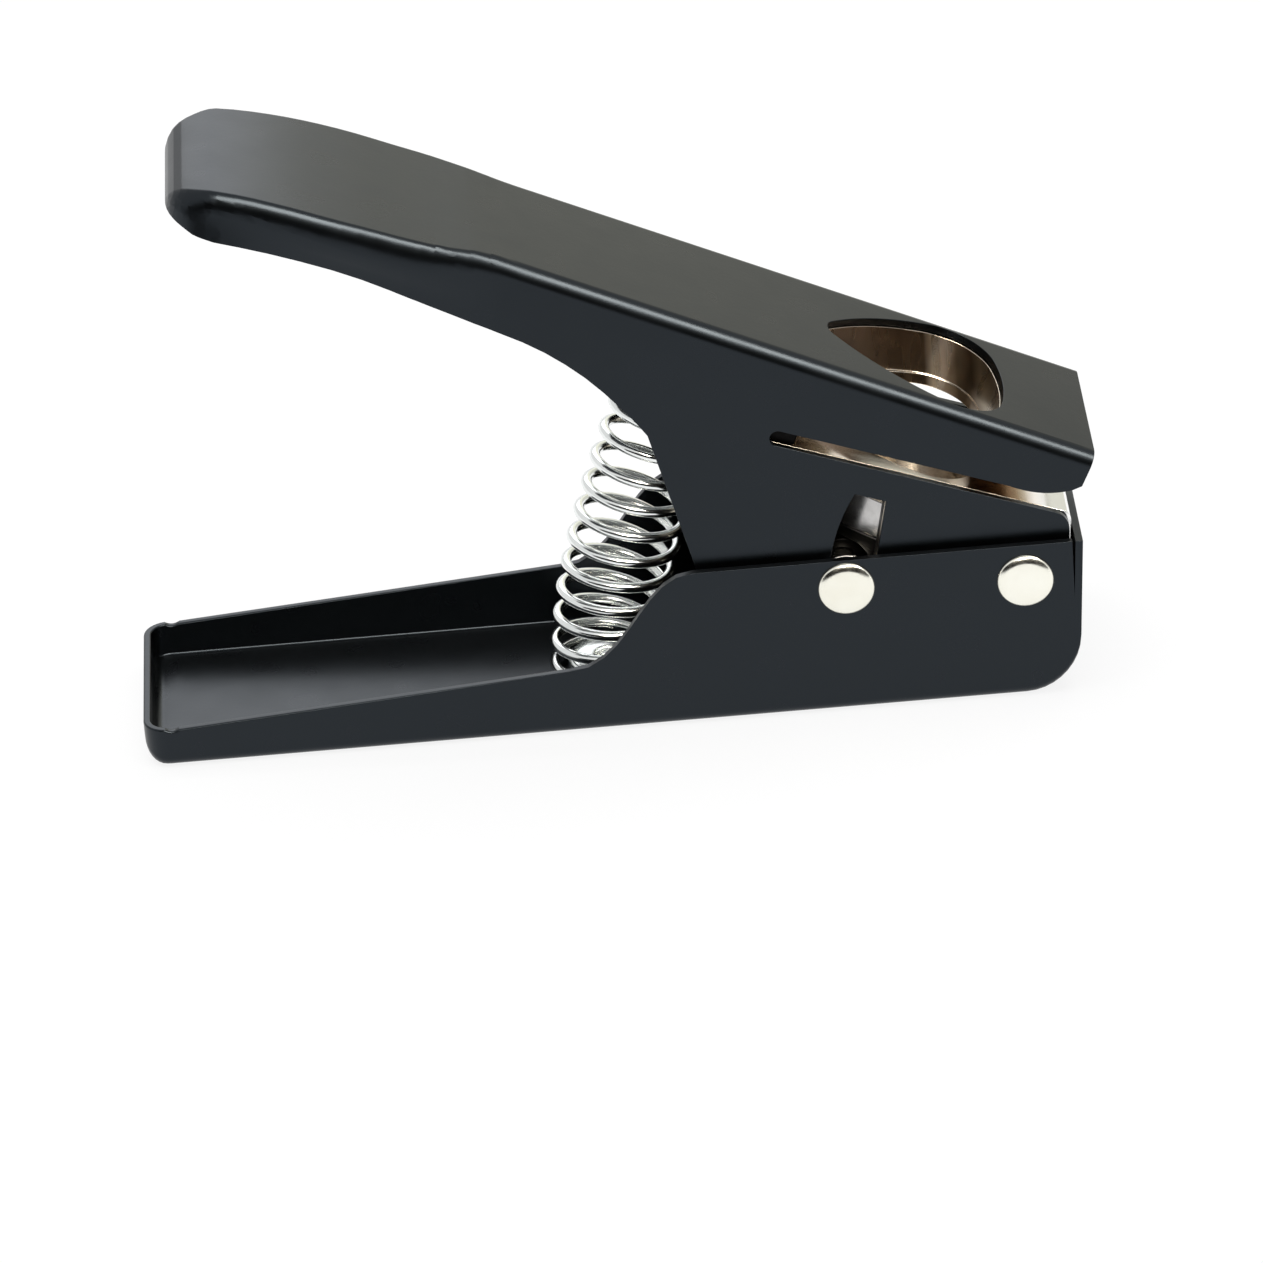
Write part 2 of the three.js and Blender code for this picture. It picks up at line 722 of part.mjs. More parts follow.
function punchCarrier() {
  const outline = new THREE.Shape();
  outline.absarc(pinOpen.x, pinOpen.y, crossSlotHalf, -90 * degrees, 90 * degrees, false);
  outline.absarc(pivotInDie.x - armRadius, pinOpen.y, crossSlotHalf, 90 * degrees, 270 * degrees, false);
  const body = column(pickOutline(-carrierClearance), carrierBottom, carrierTop);
  return subtractAll(body, [plate(outline, pickWidth + overrun), ...punchHoles()]);
}

function addPunch(parent) {
  const head = column(pickOutline(0), headBottom, headTop);
  addPart(parent, 'punch_head', subtractAll(head, punchHoles()), toolSteel);
  addPart(parent, 'punch_carrier', punchCarrier(), toolSteel);
  for (const [side, sign] of [['near', -1], ['far', 1]]) {
    const y = sign * punchScrewSpread;
    const screw = socketScrew(punchScrewLength, punchScrewHead, punchScrewSetback, y, -1);
    addPart(parent, `punch_screw_${side}`, screw, darkSteel);
  }
}

// Spring and its seats

function springSpigot(low, x, flip = 1) {
  const profile = [[0, 0], [seatRadius, 0], [seatRadius, seatHeight - seatChamfer],
    [seatRadius - seatChamfer, seatHeight], [0, seatHeight]].map(([radius, z]) => [radius, flip * z]);
  return turned(flip > 0 ? profile : profile.reverse(), 'z', x, low);
}

// The spring's axis rises square to the tray and meets the upper web square.
function springAxis() {
  const sine = Math.sin(openPitch);
  const cosine = Math.cos(openPitch);
  const foot = new THREE.Vector3(springFoot, 0, sheet);
  const head = new THREE.Vector3(
    pivot.x - springSeat * cosine + webUnder * sine, 0, pivot.y + springSeat * sine + webUnder * cosine);
  const footPull = foot.clone().add(new THREE.Vector3(0, 0, springBow));
  const headPull = head.clone().sub(new THREE.Vector3(sine, 0, cosine).multiplyScalar(springBow));
  return new THREE.CubicBezierCurve3(foot, footPull, headPull, head);
}

// Centre points of the wire with their outward directions, closer together at the end turns.
function springPath() {
  const axis = springAxis();
  const length = axis.getLength();
  const rest = springWire / 2 + seatGap;
  const steps = Math.round(springTurns * curlSteps);
  const turn = springTurns / steps;
  const openness = [];
  for (let k = 0; k < steps; k += 1) {
    const fromEnd = (Math.min(k, steps - 1 - k) + 0.5) * turn;
    openness.push(smooth((fromEnd - endTurns) / endBlend));
  }
  const spare = length - 2 * rest - endPitch * springTurns;
  const rise = spare / openness.reduce((sum, share) => sum + share, 0);
  const path = [];
  let height = rest;
  for (let k = 0; k <= steps; k += 1) {
    const along = axis.getTangentAt(height / length);
    const side = new THREE.Vector3(along.z, 0, -along.x);
    const angle = springStart + k * turn * 360 * degrees;
    const outward = side.multiplyScalar(Math.cos(angle)).add(new THREE.Vector3(0, Math.sin(angle), 0));
    const radius = (springWidth - springWire) / 2;
    path.push({ point: axis.getPointAt(height / length).addScaledVector(outward, radius), outward });
    height += endPitch * turn + rise * (openness[k] ?? 0);
  }
  const straight = (end, next) => ({
    point: end.point.clone().addScaledVector(end.point.clone().sub(next.point).normalize(), springWire),
    outward: end.outward,
  });
  return [straight(path[0], path[1]), ...path, straight(path[steps], path[steps - 1])];
}

function returnSpring(path) {
  const last = path.length - 1;
  const rings = path.map(({ point, outward }, k) => {
    const along = path[Math.min(k + 1, last)].point.clone().sub(path[Math.max(k - 1, 0)].point).normalize();
    const across = along.clone().cross(outward).normalize();
    const out = across.clone().cross(along);
    return Array.from({ length: wireSides }, (_, side) => {
      const turn = (side / wireSides) * 360 * degrees;
      return point.clone()
        .addScaledVector(out, Math.cos(turn) * springWire / 2)
        .addScaledVector(across, Math.sin(turn) * springWire / 2);
    });
  });
  return loft(rings);
}

// The least gap between points of the wire that lie more than half a turn apart along it.
function leastGap(path) {
  let least = Infinity;
  for (let i = 0; i < path.length; i += 1) {
    for (let j = i + curlSteps / 2 + 1; j < path.length; j += 1) {
      least = Math.min(least, path[i].point.distanceTo(path[j].point) - springWire);
    }
  }
  return least;
}

// Assembly

const lower = new THREE.Group();
addPart(lower, 'lower_handle', lowerHandle(), blackCoat);
addLinkage(lower);
addPart(lower, 'lower_spring_seat', springSpigot(sheet, springFoot), zinc);
const wire = springPath();
addPart(lower, 'return_spring', returnSpring(wire), zinc);

const upper = new THREE.Group();
upper.position.set(pivot.x, 0, pivot.y);
upper.rotation.y = openPitch;
addPart(upper, 'upper_handle', upperHandle(), blackCoat);
addPart(upper, 'die_block', dieBlock(), nickel);
addPart(upper, 'guide_block', guideBlock(), nickel);
addPart(upper, 'upper_spring_seat', springSpigot(webUnder - seatGap, -springSeat, -1), zinc);

const die = new THREE.Group();
die.applyMatrix4(dieFrame);
addDie(die);
addPunch(die);
upper.add(die);

const plectrumPunch = new THREE.Group();
plectrumPunch.add(lower, upper);

console.log(`Least gap of the spring to itself: ${leastGap(wire).toFixed(2)} mm`);
console.log(`Punch travel: ${travel.toFixed(3)} mm`);

export default plectrumPunch;
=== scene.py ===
import math

import bmesh
import bpy
from mathutils import Matrix, Vector
from mathutils.geometry import interpolate_bezier


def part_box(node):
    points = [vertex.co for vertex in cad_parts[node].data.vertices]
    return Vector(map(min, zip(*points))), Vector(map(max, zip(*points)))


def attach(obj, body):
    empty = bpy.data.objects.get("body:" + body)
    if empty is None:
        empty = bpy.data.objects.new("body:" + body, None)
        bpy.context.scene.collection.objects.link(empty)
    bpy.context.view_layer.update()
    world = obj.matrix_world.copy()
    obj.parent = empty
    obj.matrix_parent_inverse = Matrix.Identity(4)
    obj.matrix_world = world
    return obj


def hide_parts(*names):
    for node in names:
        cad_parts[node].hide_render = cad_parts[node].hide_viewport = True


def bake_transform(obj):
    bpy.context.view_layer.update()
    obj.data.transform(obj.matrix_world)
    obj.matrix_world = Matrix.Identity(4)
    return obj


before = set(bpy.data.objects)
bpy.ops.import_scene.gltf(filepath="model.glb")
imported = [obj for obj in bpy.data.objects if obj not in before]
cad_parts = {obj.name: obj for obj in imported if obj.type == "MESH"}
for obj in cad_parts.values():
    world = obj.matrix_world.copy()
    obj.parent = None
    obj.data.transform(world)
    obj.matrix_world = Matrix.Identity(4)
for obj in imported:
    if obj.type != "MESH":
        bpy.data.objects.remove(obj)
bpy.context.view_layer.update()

MM = 0.001
ORIGIN = Vector((0, 0, 0))

# All sizes below are in millimetres, except in the camera and the studio, which are in metres

# How near corners have to be to count as one, and how near a corner has to be to lie on a line
SAME_PLACE = 0.001
NEAR = 0.01

# Bends below the first angle are flat, and bends above the second are edges to round
FLAT_BEND = math.radians(0.4)
SHARP_BEND = math.radians(46)

# Sizes of the sheet metal
SHEET = 1.2
WEB_HEIGHT = 23.2
WEB_HALF = 16.35
WALL_OUTER = 18.15

# Where the cheeks of the lower handle begin, and how far behind the hinge the arc slots lie
CHEEKS = -18
ARC_SLOT = -26.5

# The pitch of the upper handle while it is open, the card slot's tilt in it, and the die's pitch
OPEN_PITCH = math.radians(25.25)
SLOT_TILT = math.radians(5.05)
DIE_TURN = OPEN_PITCH - SLOT_TILT

# Widths of the rounding on the edges of each piece, and its steps
CUT_EDGE = 0.3
CHEEK_EDGE = 0.04
FINE_EDGE = 0.08
DIE_EDGE = 0.1
GUIDE_EDGE = 0.12
STOP_EDGE = 0.2
PUNCH_EDGE = 0.1
CARRIER_EDGE = 0.3
ROLLER_EDGE = 0.3
WASHER_EDGE = 0.1
CUT_STEPS = 3
FINE_STEPS = 2

# How the grip is drawn, at even steps from its back: how far its crown sinks, and how much wider it
# is on each side
GRIP_BACK = -62
GRIP_STEP = 8
GRIP_SINK = (0.1, 0.4, 1.0, 1.4, 1.2, 0.65, 0)
GRIP_WIDER = (-0.7, -0.4, 0.5, 1.15, 1.0, 0.55, 0)

# Where the drawn part ends, the cuts across the arm behind it, and the depths of the cuts along it
GRIP_FRONT = -13.9
ARM_CUTS = (-17, -19.7, -22.4, -25.1, -28)
LENGTH_CUTS = (4.4, 5.6, 6.8, 8, 9.5)

# How far down the side walls the whole drawing reaches, and how far down it has faded away
CROWN_DEPTH = 3.6
WALL_DEPTH = 11

# Centre of the round at the grip's end in the side view, and how square the round is
END_CORNER = (-57.6, 93.6)
END_SQUARENESS = 3

# Sizes of the rivets: the pin, the gap under a head, and the dome as radii and slopes of its arcs
PIN_RADIUS = 2.2
RIVET_HEAD_GAP = 0.05
RIVET_CROWN = 1.15
RIVET_ARCS = ((23.5, 8), (2.37, 34), (0.65, 90))
RIVET_DIMPLE = 0.65
DIMPLE_WALL = 0.2
DIMPLE_DEPTH = 0.02

# Sizes of the roller and the washers, which share a bore
PIN_BORE = 2.35
ROLLER_RADIUS = 4
WASHER_RADIUS = 5

# How finely turned pieces and arcs are stepped
TURNED_STEPS = 72
ARC_STEPS = 6

# Sizes of the socket screws and the dowels
SCREW_RADIUS = 1.5
SCREW_TIP_WIDTH = 0.3
SCREW_TIP_HEIGHT = 0.4
SCREW_HEAD_RADIUS = 2.75
SCREW_HEAD_HEIGHT = 3
SCREW_HEAD_EDGE = 0.35
SOCKET_RADIUS = 1.45
SOCKET_DEPTH = 1.5
DOWEL_RADIUS = 1.5
DOWEL_TIP = 0.3

# Half the section of a spring seat, as radius and height, and the gap kept at each seat
SEAT_SECTION = ((0, 0), (6.3, 0), (6.3, 2.2), (6.1, 2.6), (5.9, 2.8), (5.5, 3), (2.2, 3),
                (1.6, 2.4), (0, 2.4))
SEAT_GAP = 0.3

# Sizes of the spring, how much its pitch grows towards its head, and where the pitch is the mean
SPRING_WIDTH = 18.6
SPRING_WIRE = 1.75
SPRING_TURNS = 14.7
SPRING_OPENING = 0.45
SPRING_EVEN = 0.37

# Its ends: the pitch there, the turns that keep it, the turns that lead over, and the first angle
END_PITCH = 2.1
END_TURNS = 0.35
END_BLEND = 0.6
SPRING_START = math.radians(95)
SPRING_REST = SPRING_WIRE / 2 + SEAT_GAP

# Its middle line: the places of the seats, the head's lead over its seat, and the reach of each bow
SPRING_FOOT = -0.8
SPRING_SEAT = 62.1
SPRING_LEAN = 0.8
FOOT_BOW = 20
HEAD_BOW = 12

# How finely the middle line and the wire are stepped
LINE_POINTS = 1200
STEPS_PER_TURN = 48
WIRE_ROUNDING = 5

# Places in the die's frame: the fasteners, the punch's screws and the cuts across the bore
FASTENERS = -5.85
PUNCH_SCREWS = 21.8
BORE_CUTS = range(4, 29, 4)

# Where the die and the guide carry painted reflections and shade, in the die's frame, and which way
# those faces turn
BORE_ENDS = (-1.2, 30.5)
BORE_HALF = 13.8
BORE_STEEPNESS = 0.35
SLOT_HEIGHTS = (-1, 5)
SLOT_FLATNESS = 0.9
NOSE = 40
ARC_SLOT_ENDS = (4, 24)
ARC_SLOT_TOP = -4.5
ARC_SLOT_INNER = 8
ARC_SLOT_STEEPNESS = 0.5

# How fine the patterns of the finishes are, in cells of noise to the metre
COAT_PATCHES = 45
COAT_SAG = 160
COAT_PEEL = 1150
METAL_CLOUDS = 120
METAL_SCRATCHES = 900
BORE_STREAKS = 420
SLOT_STREAKS = 500

# Painted bands of reflection and shade on the bore's plating along the handles, as shares of the
# way from back to front
BORE_BACK = 36
BORE_FRONT = 66
BORE_PAINTED_LIGHT_BANDS = ((0.2, (0.28, 0.22, 0.18)), (0.37, (0.20, 0.15, 0.11)), (0.47, (0.14, 0.105, 0.075)),
              (0.60, (0.17, 0.13, 0.095)), (0.64, (0.86, 0.76, 0.63)), (0.71, (0.66, 0.55, 0.45)),
              (0.77, (0.23, 0.18, 0.13)), (0.845, (0.14, 0.10, 0.065)), (0.89, (0.34, 0.28, 0.20)),
              (0.93, (0.30, 0.25, 0.18)), (0.955, (0.32, 0.26, 0.21)), (0.975, (0.75, 0.66, 0.60)))

# Tones of the card slot's plating along the handles, as shares of the way from back to front:
# painted shade at the closed end, the plating's own tone, a brown band, and a painted white
# reflection towards the nose
SLOT_BACK = 31
SLOT_FRONT = 75
SLOT_PAINTED_LIGHT_BANDS = ((0.02, (0.25, 0.20, 0.16)), (0.1, (0.93, 0.88, 0.80)), (0.6, (0.93, 0.88, 0.80)),
              (0.635, (0.26, 0.19, 0.13)), (0.79, (0.42, 0.31, 0.21)), (0.86, (0.93, 0.88, 0.80)),
              (0.92, (0.97, 0.97, 0.96)))

# The camera's lens, its place in metres and its turns in degrees
CAMERA_LENS = 227.665
CAMERA_PLACE = (-0.01233516, -1.12839228, 0.6354256)
CAMERA_TURNS = (60.8393755, 3.86498774, -2.95661836)

# The studio: how bright the surround is for the object's light and where it is seen, the watts to
# the square metre of a lamp for a radiance of 1, and how far the floor lies under the handle
SURROUND_LIGHT = 0.55
SURROUND_SEEN = 1.0
LAMP_WATTS = 4
FLOOR_DROP = 0.0001

# Places of the hinge and of the driving pin, and the frames of the upper handle and of the die. The
# die's frame starts at the tip of the bore, on the floor of the card slot
PIVOT = Vector((66.3, 0, 21)) * MM
DRIVE_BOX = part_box("drive_rivet")
DRIVE = (DRIVE_BOX[0] + DRIVE_BOX[1]) / 2
BORE_TIP = Vector((-40.57, 0, 8.23)) * MM
UPPER = Matrix.Translation(PIVOT) @ Matrix.Rotation(OPEN_PITCH, 4, "Y")
DIE = UPPER @ Matrix.Translation(BORE_TIP) @ Matrix.Rotation(-SLOT_TILT, 4, "Y")


# Camera, at the angle of the photograph

def add_camera():
    data = bpy.data.cameras.new("camera")
    data.lens = CAMERA_LENS
    camera = bpy.data.objects.new("camera", data)
    camera.location = CAMERA_PLACE
    camera.rotation_euler = [math.radians(turn) for turn in CAMERA_TURNS]
    bpy.context.collection.objects.link(camera)
    bpy.context.scene.camera = camera


add_camera()


# Materials

class Nodes:
    """Short hand for the nodes of one material."""

    def __init__(self, name):
        self.material = bpy.data.materials.new(name)
        self.material.use_nodes = True
        self.tree = self.material.node_tree
        self.shader = self.tree.nodes["Principled BSDF"]
        self.place = self.add("ShaderNodeTexCoord").outputs["Object"]

    def add(self, kind, **values):
        node = self.tree.nodes.new(kind)
        for key, value in values.items():
            setattr(node, key, value)
        return node

    def link(self, source, target):
        self.tree.links.new(source, target)

    def grain(self, scale, stretch=(1, 1, 1), turn=0.0, detail=2.0, roughness=0.5):
        """Noise in a frame that is turned about Y and stretched."""
        mapping = self.add("ShaderNodeMapping")
        mapping.inputs["Rotation"].default_value = (0, turn, 0)
        mapping.inputs["Scale"].default_value = stretch
        noise = self.add("ShaderNodeTexNoise")
        noise.inputs["Scale"].default_value = scale
        noise.inputs["Detail"].default_value = detail
        noise.inputs["Roughness"].default_value = roughness
        self.link(self.place, mapping.inputs["Vector"])
        self.link(mapping.outputs["Vector"], noise.inputs["Vector"])
        return noise.outputs["Fac"]

    def spread(self, source, low, high, start=0.3, end=0.7):
        """A value that runs from low to high while its source runs from start to end."""
        node = self.add("ShaderNodeMapRange", clamp=True)
        node.inputs["From Min"].default_value = start
        node.inputs["From Max"].default_value = end
        node.inputs["To Min"].default_value = low
        node.inputs["To Max"].default_value = high
        self.link(source, node.inputs["Value"])
        return node.outputs["Result"]

    def along(self, back, front):
        """The share of the way from one place to another along the handles."""
        split = self.add("ShaderNodeSeparateXYZ")
        self.link(self.place, split.inputs["Vector"])
        return self.spread(split.outputs["X"], 0, 1, start=back * MM, end=front * MM)

    def tones(self, source, dark, light, start=0.3, end=0.7):
        """A colour that runs from dark to light while its source runs from start to end."""
        ramp = self.add("ShaderNodeValToRGB")
        ramp.color_ramp.elements[0].position = start
        ramp.color_ramp.elements[0].color = (*dark, 1)
        ramp.color_ramp.elements[1].position = end
        ramp.color_ramp.elements[1].color = (*light, 1)
        self.link(source, ramp.inputs["Fac"])
        return ramp.outputs["Color"]

    def bands(self, source, stops):
        """A colour that runs through the stops, each a position and a colour."""
        ramp = self.add("ShaderNodeValToRGB")
        marks = ramp.color_ramp.elements
        while len(marks) < len(stops):
            marks.new(1)
        for mark, (position, color) in zip(marks, stops):
            mark.position = position
            mark.color = (*color, 1)
        self.link(source, ramp.inputs["Fac"])
        return ramp.outputs["Color"]

    def relief(self, source, strength, depth, under=None):
        """Bumps of a depth in metres, on top of those under them."""
        bump = self.add("ShaderNodeBump")
        bump.inputs["Strength"].default_value = strength
        bump.inputs["Distance"].default_value = depth
        self.link(source, bump.inputs["Height"])
        if under:
            self.link(under, bump.inputs["Normal"])
        return bump.outputs["Normal"]

    def finish(self, color, gloss, normal, **sockets):
        for key, value in sockets.items():
            self.shader.inputs[key.replace("_", " ")].default_value = value
        self.link(color, self.shader.inputs["Base Color"])
        self.link(gloss, self.shader.inputs["Roughness"])
        self.link(normal, self.shader.inputs["Normal"])
        return self.material


def powder_coat():
    """Black powder coat: a fine orange peel on soft sags."""
    nodes = Nodes("powder_coat")
    patches = nodes.grain(COAT_PATCHES, detail=3)
    peel = nodes.grain(COAT_PEEL, detail=1.5)
    sag = nodes.grain(COAT_SAG, detail=1)
    color = nodes.tones(patches, dark=(0.0005, 0.0005, 0.0005), light=(0.0008, 0.0008, 0.0008))
    gloss = nodes.spread(sag, low=0.27, high=0.31)
    sags = nodes.relief(sag, strength=0.25, depth=0.00004)
    normal = nodes.relief(peel, strength=0.3, depth=0.00002, under=sags)
    return nodes.finish(color, gloss, normal, Metallic=0, IOR=1.5, Specular_IOR_Level=0.37,
                        Specular_Tint=(0.84, 0.99, 1.15, 1))


def metal(name, dark, light, gloss, stretch, turn=0.0, depth=0.000004):
    """Plated or ground metal: a wandering tone, and fine scratches along the grain."""
    nodes = Nodes(name)
    cloud = nodes.grain(METAL_CLOUDS, detail=3, turn=turn)
    scratches = nodes.grain(METAL_SCRATCHES, stretch, turn, detail=3, roughness=0.6)
    color = nodes.tones(cloud, dark, light)
    rough = nodes.spread(scratches, *gloss)
    normal = nodes.relief(scratches, strength=0.5, depth=depth)
    return nodes.finish(color, rough, normal, Metallic=1)


def bore_painted_light():
    """Plating on the walls of the bore: painted bands of reflection and shade from back to front,
    and soft streaks.
    """
    nodes = Nodes("bore_painted_light")
    streaks = nodes.grain(BORE_STREAKS, stretch=(1, 1, 0.04), turn=DIE_TURN)
    shade = nodes.bands(nodes.along(BORE_BACK, BORE_FRONT), BORE_PAINTED_LIGHT_BANDS)
    worn = nodes.spread(streaks, low=0.9, high=1.03)
    color = nodes.add("ShaderNodeVectorMath", operation="SCALE")
    nodes.link(shade, color.inputs["Vector"])
    nodes.link(worn, color.inputs["Scale"])
    gloss = nodes.spread(streaks, low=0.26, high=0.32)
    normal = nodes.relief(streaks, strength=0.2, depth=0.0000004)
    return nodes.finish(color.outputs["Vector"], gloss, normal, Metallic=1)


def slot_painted_light():
    """Polished plating on the faces of the card slot, with painted shade at the closed end, a brown
    band, and a painted white reflection towards the nose.
    """
    nodes = Nodes("slot_painted_light")
    color = nodes.bands(nodes.along(SLOT_BACK, SLOT_FRONT), SLOT_PAINTED_LIGHT_BANDS)
    streaks = nodes.grain(SLOT_STREAKS, stretch=(0.12, 1, 1), turn=DIE_TURN)
    gloss = nodes.spread(streaks, low=0.10, high=0.2)
    normal = nodes.relief(streaks, strength=0.3, depth=0.000001)
    return nodes.finish(color, gloss, normal, Metallic=1)


BLACK_COAT = powder_coat()
NICKEL = metal("nickel_plate", dark=(0.70, 0.61, 0.49), light=(0.80, 0.72, 0.60),
               gloss=(0.16, 0.26), stretch=(1, 1, 0.06), turn=DIE_TURN, depth=0.000001)
# The bore's plating, with painted bands of reflection and shade
BORE_PAINTED_LIGHT = bore_painted_light()
SLOT_PAINTED_LIGHT = slot_painted_light()
RIVET_ZINC = metal("rivet_plate", dark=(0.90, 0.88, 0.77), light=(0.97, 0.96, 0.87),
                   gloss=(0.16, 0.24), stretch=(1, 0.3, 1), depth=0.000002)
SPRING_ZINC = metal("spring_plate", dark=(0.80, 0.83, 0.82), light=(0.90, 0.92, 0.91),
                    gloss=(0.15, 0.19), stretch=(1, 1, 0.4), depth=0.0000001)
TOOL_STEEL = metal("tool_steel", dark=(0.50, 0.49, 0.48), light=(0.62, 0.61, 0.60),
                   gloss=(0.16, 0.26), stretch=(1, 0.1, 1), depth=0.000001)
# Near-black steel for the punch carrier and the walls of the guide's arc slots: painted shade for
# the dark inside behind the arc slots
PAINTED_SHADE_STEEL = metal("painted_shade_steel", dark=(0.02, 0.02, 0.021), light=(0.035, 0.034, 0.034),
                    gloss=(0.3, 0.42), stretch=(1, 0.1, 1))
# Dark steel: the real finish of the screws and the card stop, and painted shade on the roller
# inside the carrier's cross slot
DARK_STEEL_AND_SHADE = metal("dark_steel", dark=(0.006, 0.006, 0.006), light=(0.012, 0.011, 0.011),
                   gloss=(0.32, 0.5), stretch=(1, 1, 1))


# Ways to make a piece

def smooth(share):
    """A smooth step from 0 to 1."""
    held = min(max(share, 0), 1)
    return held * held * (3 - 2 * held)


def piece(name, shape, material, body, nodes, smooth_to=60):
    """Makes an object at the origin, smooth up to an angle, that stands for its CAD nodes."""
    mesh = bpy.data.meshes.new(name)
    shape.to_mesh(mesh)
    shape.free()
    mesh.shade_smooth()
    mesh.set_sharp_from_angle(angle=math.radians(smooth_to))
    mesh.materials.append(material)
    made = bpy.data.objects.new(name, mesh)
    bpy.context.collection.objects.link(made)
    weighted = made.modifiers.new("weighted", "WEIGHTED_NORMAL")
    weighted.keep_sharp = True
    if body:
        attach(made, body)
    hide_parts(*nodes)
    return made


def soften(shape, width, steps, test=None):
    """Rounds the sharp edges of a shape, or those that pass a test."""
    sharp = [edge for edge in shape.edges if edge.calc_face_angle(0) > SHARP_BEND
             and (test is None or test(edge))]
    bmesh.ops.bevel(shape, geom=sharp, offset=width * MM, offset_type="OFFSET", segments=steps,
                    profile=0.5, affect="EDGES", clamp_overlap=False, material=-1)


def merge(shape):
    """Makes one corner of those that share a place."""
    bmesh.ops.remove_doubles(shape, verts=shape.verts, dist=SAME_PLACE * MM)


def plane(place, axis, reach=0.0):
    """A plane square to an axis of a frame: a point on it and its normal."""
    normal = place.to_3x3().col[axis]
    return place.translation + normal * reach * MM, normal


def plane_across(x):
    """A plane across the handles in the shared frame."""
    return Vector((x, 0, 0)) * MM, Vector((1, 0, 0))


def dressed(node, name, material, body, edges, cuts=(), draw=None):
    """A merged copy of a CAD node, with rounded edges.

    The planes of cuts pass through its holes, so that no flat face keeps a hole inside it, and
    part off what is drawn. The edges are rounded in turn, each width where its test holds.
    """
    shape = bmesh.new()
    shape.from_mesh(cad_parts[node].data)
    merge(shape)
    for point, normal in cuts:
        parts = shape.verts[:] + shape.edges[:] + shape.faces[:]
        cut = bmesh.ops.bisect_plane(shape, geom=parts, dist=SAME_PLACE * MM, plane_co=point,
                                     plane_no=normal)
        for part in cut["geom_cut"]:
            if isinstance(part, bmesh.types.BMEdge):
                part.seam = True
    bmesh.ops.dissolve_limit(shape, angle_limit=FLAT_BEND, verts=shape.verts, edges=shape.edges,
                             delimit={"SEAM"})
    if draw:
        draw(shape)
    for width, steps, test in edges:
        soften(shape, width, steps, test)
    return piece(name, shape, material, body, [node])


def repaint(made, material, test):
    """Gives the faces that pass a test of their centre and normal another material."""
    made.data.materials.append(material)
    for face in made.data.polygons:
        if test(face.center, face.normal):
            face.material_index = len(made.data.materials) - 1


def turned(name, section, place, material, body, nodes, edge=0):
    """Spins half a section of radius and height about Z, then puts it in its place."""
    shape = bmesh.new()
    points = [shape.verts.new((radius * MM, 0, height * MM)) for radius, height in section]
    lines = [shape.edges.new(pair) for pair in zip(points, points[1:])]
    bmesh.ops.spin(shape, geom=points + lines, cent=ORIGIN, axis=(0, 0, 1), angle=math.tau,
                   steps=TURNED_STEPS, use_merge=True, use_duplicate=False)
    merge(shape)
    bmesh.ops.recalc_face_normals(shape, faces=shape.faces)
    if edge:
        soften(shape, edge, CUT_STEPS)
    bmesh.ops.transform(shape, matrix=place, verts=shape.verts)
    return piece(name, shape, material, body, nodes)


def across(x, z):
    """The frame of a turned piece whose axis lies along Y."""
    return Matrix.Translation((x, 0, z)) @ Matrix.Rotation(math.radians(-90), 4, "X")


def flipped(place):
    """A frame turned over, so that its Z points the other way."""
    return place @ Matrix.Rotation(math.pi, 4, "X")


def span(node, place):
    """Lowest and highest corner of a CAD node in a frame, in millimetres."""
    back = place.inverted()
    points = [back @ vertex.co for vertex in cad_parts[node].data.vertices]
    low = Vector([min(point[axis] for point in points) for axis in range(3)]) / MM
    high = Vector([max(point[axis] for point in points) for axis in range(3)]) / MM
    return low, high


# Handles

def on_cheeks(edge):
    """Whether an edge lies on the cheeks of the lower handle."""
    return all((vert.co / MM).x > CHEEKS for vert in edge.verts)


def on_tray(edge):
    return not on_cheeks(edge)


def eased(values, spot):
    """A smooth curve through evenly spaced values, level at both ends."""
    spot = min(max(spot, 0), len(values) - 1)
    k = min(int(spot), len(values) - 2)
    share = spot - k
    here, there = values[k:k + 2]
    before = values[k - 1] if k else there
    after = values[k + 2] if k + 2 < len(values) else here
    rise, rise_there = (there - before) / 2, (after - here) / 2
    bend = 3 * (there - here) - 2 * rise - rise_there
    return here + share * (rise + share * (bend + share * (2 * (here - there) + rise + rise_there)))


def grip_crest(shape):
    """Points along the top of the grip and the arm, in the side view."""
    shape.normal_update()
    return sorted((vert.co.x / MM, vert.co.z / MM) for vert in shape.verts
                  if abs(vert.co.y) < NEAR * MM and vert.normal.z > 0 and vert.co.x < 0)


def cut_grip(shape):
    """Cuts the grip across and along, so that it can take its drawn shape."""
    stations = [x for x, height in grip_crest(shape) if x < ARM_CUTS[-1]] + list(ARM_CUTS)
    across_grip = [plane_across(x) for x in stations]
    along_grip = [plane(UPPER, 2, WEB_HEIGHT - depth) for depth in LENGTH_CUTS]
    for point, normal in across_grip + along_grip:
        faces = [face for face in shape.faces
                 if all(vert.co.x < (GRIP_FRONT + NEAR) * MM for vert in face.verts)]
        lines = {line for face in faces for line in face.edges}
        verts = {vert for face in faces for vert in face.verts}
        bmesh.ops.bisect_plane(shape, geom=faces + list(lines) + list(verts), dist=NEAR * MM,
                               plane_co=point, plane_no=normal)


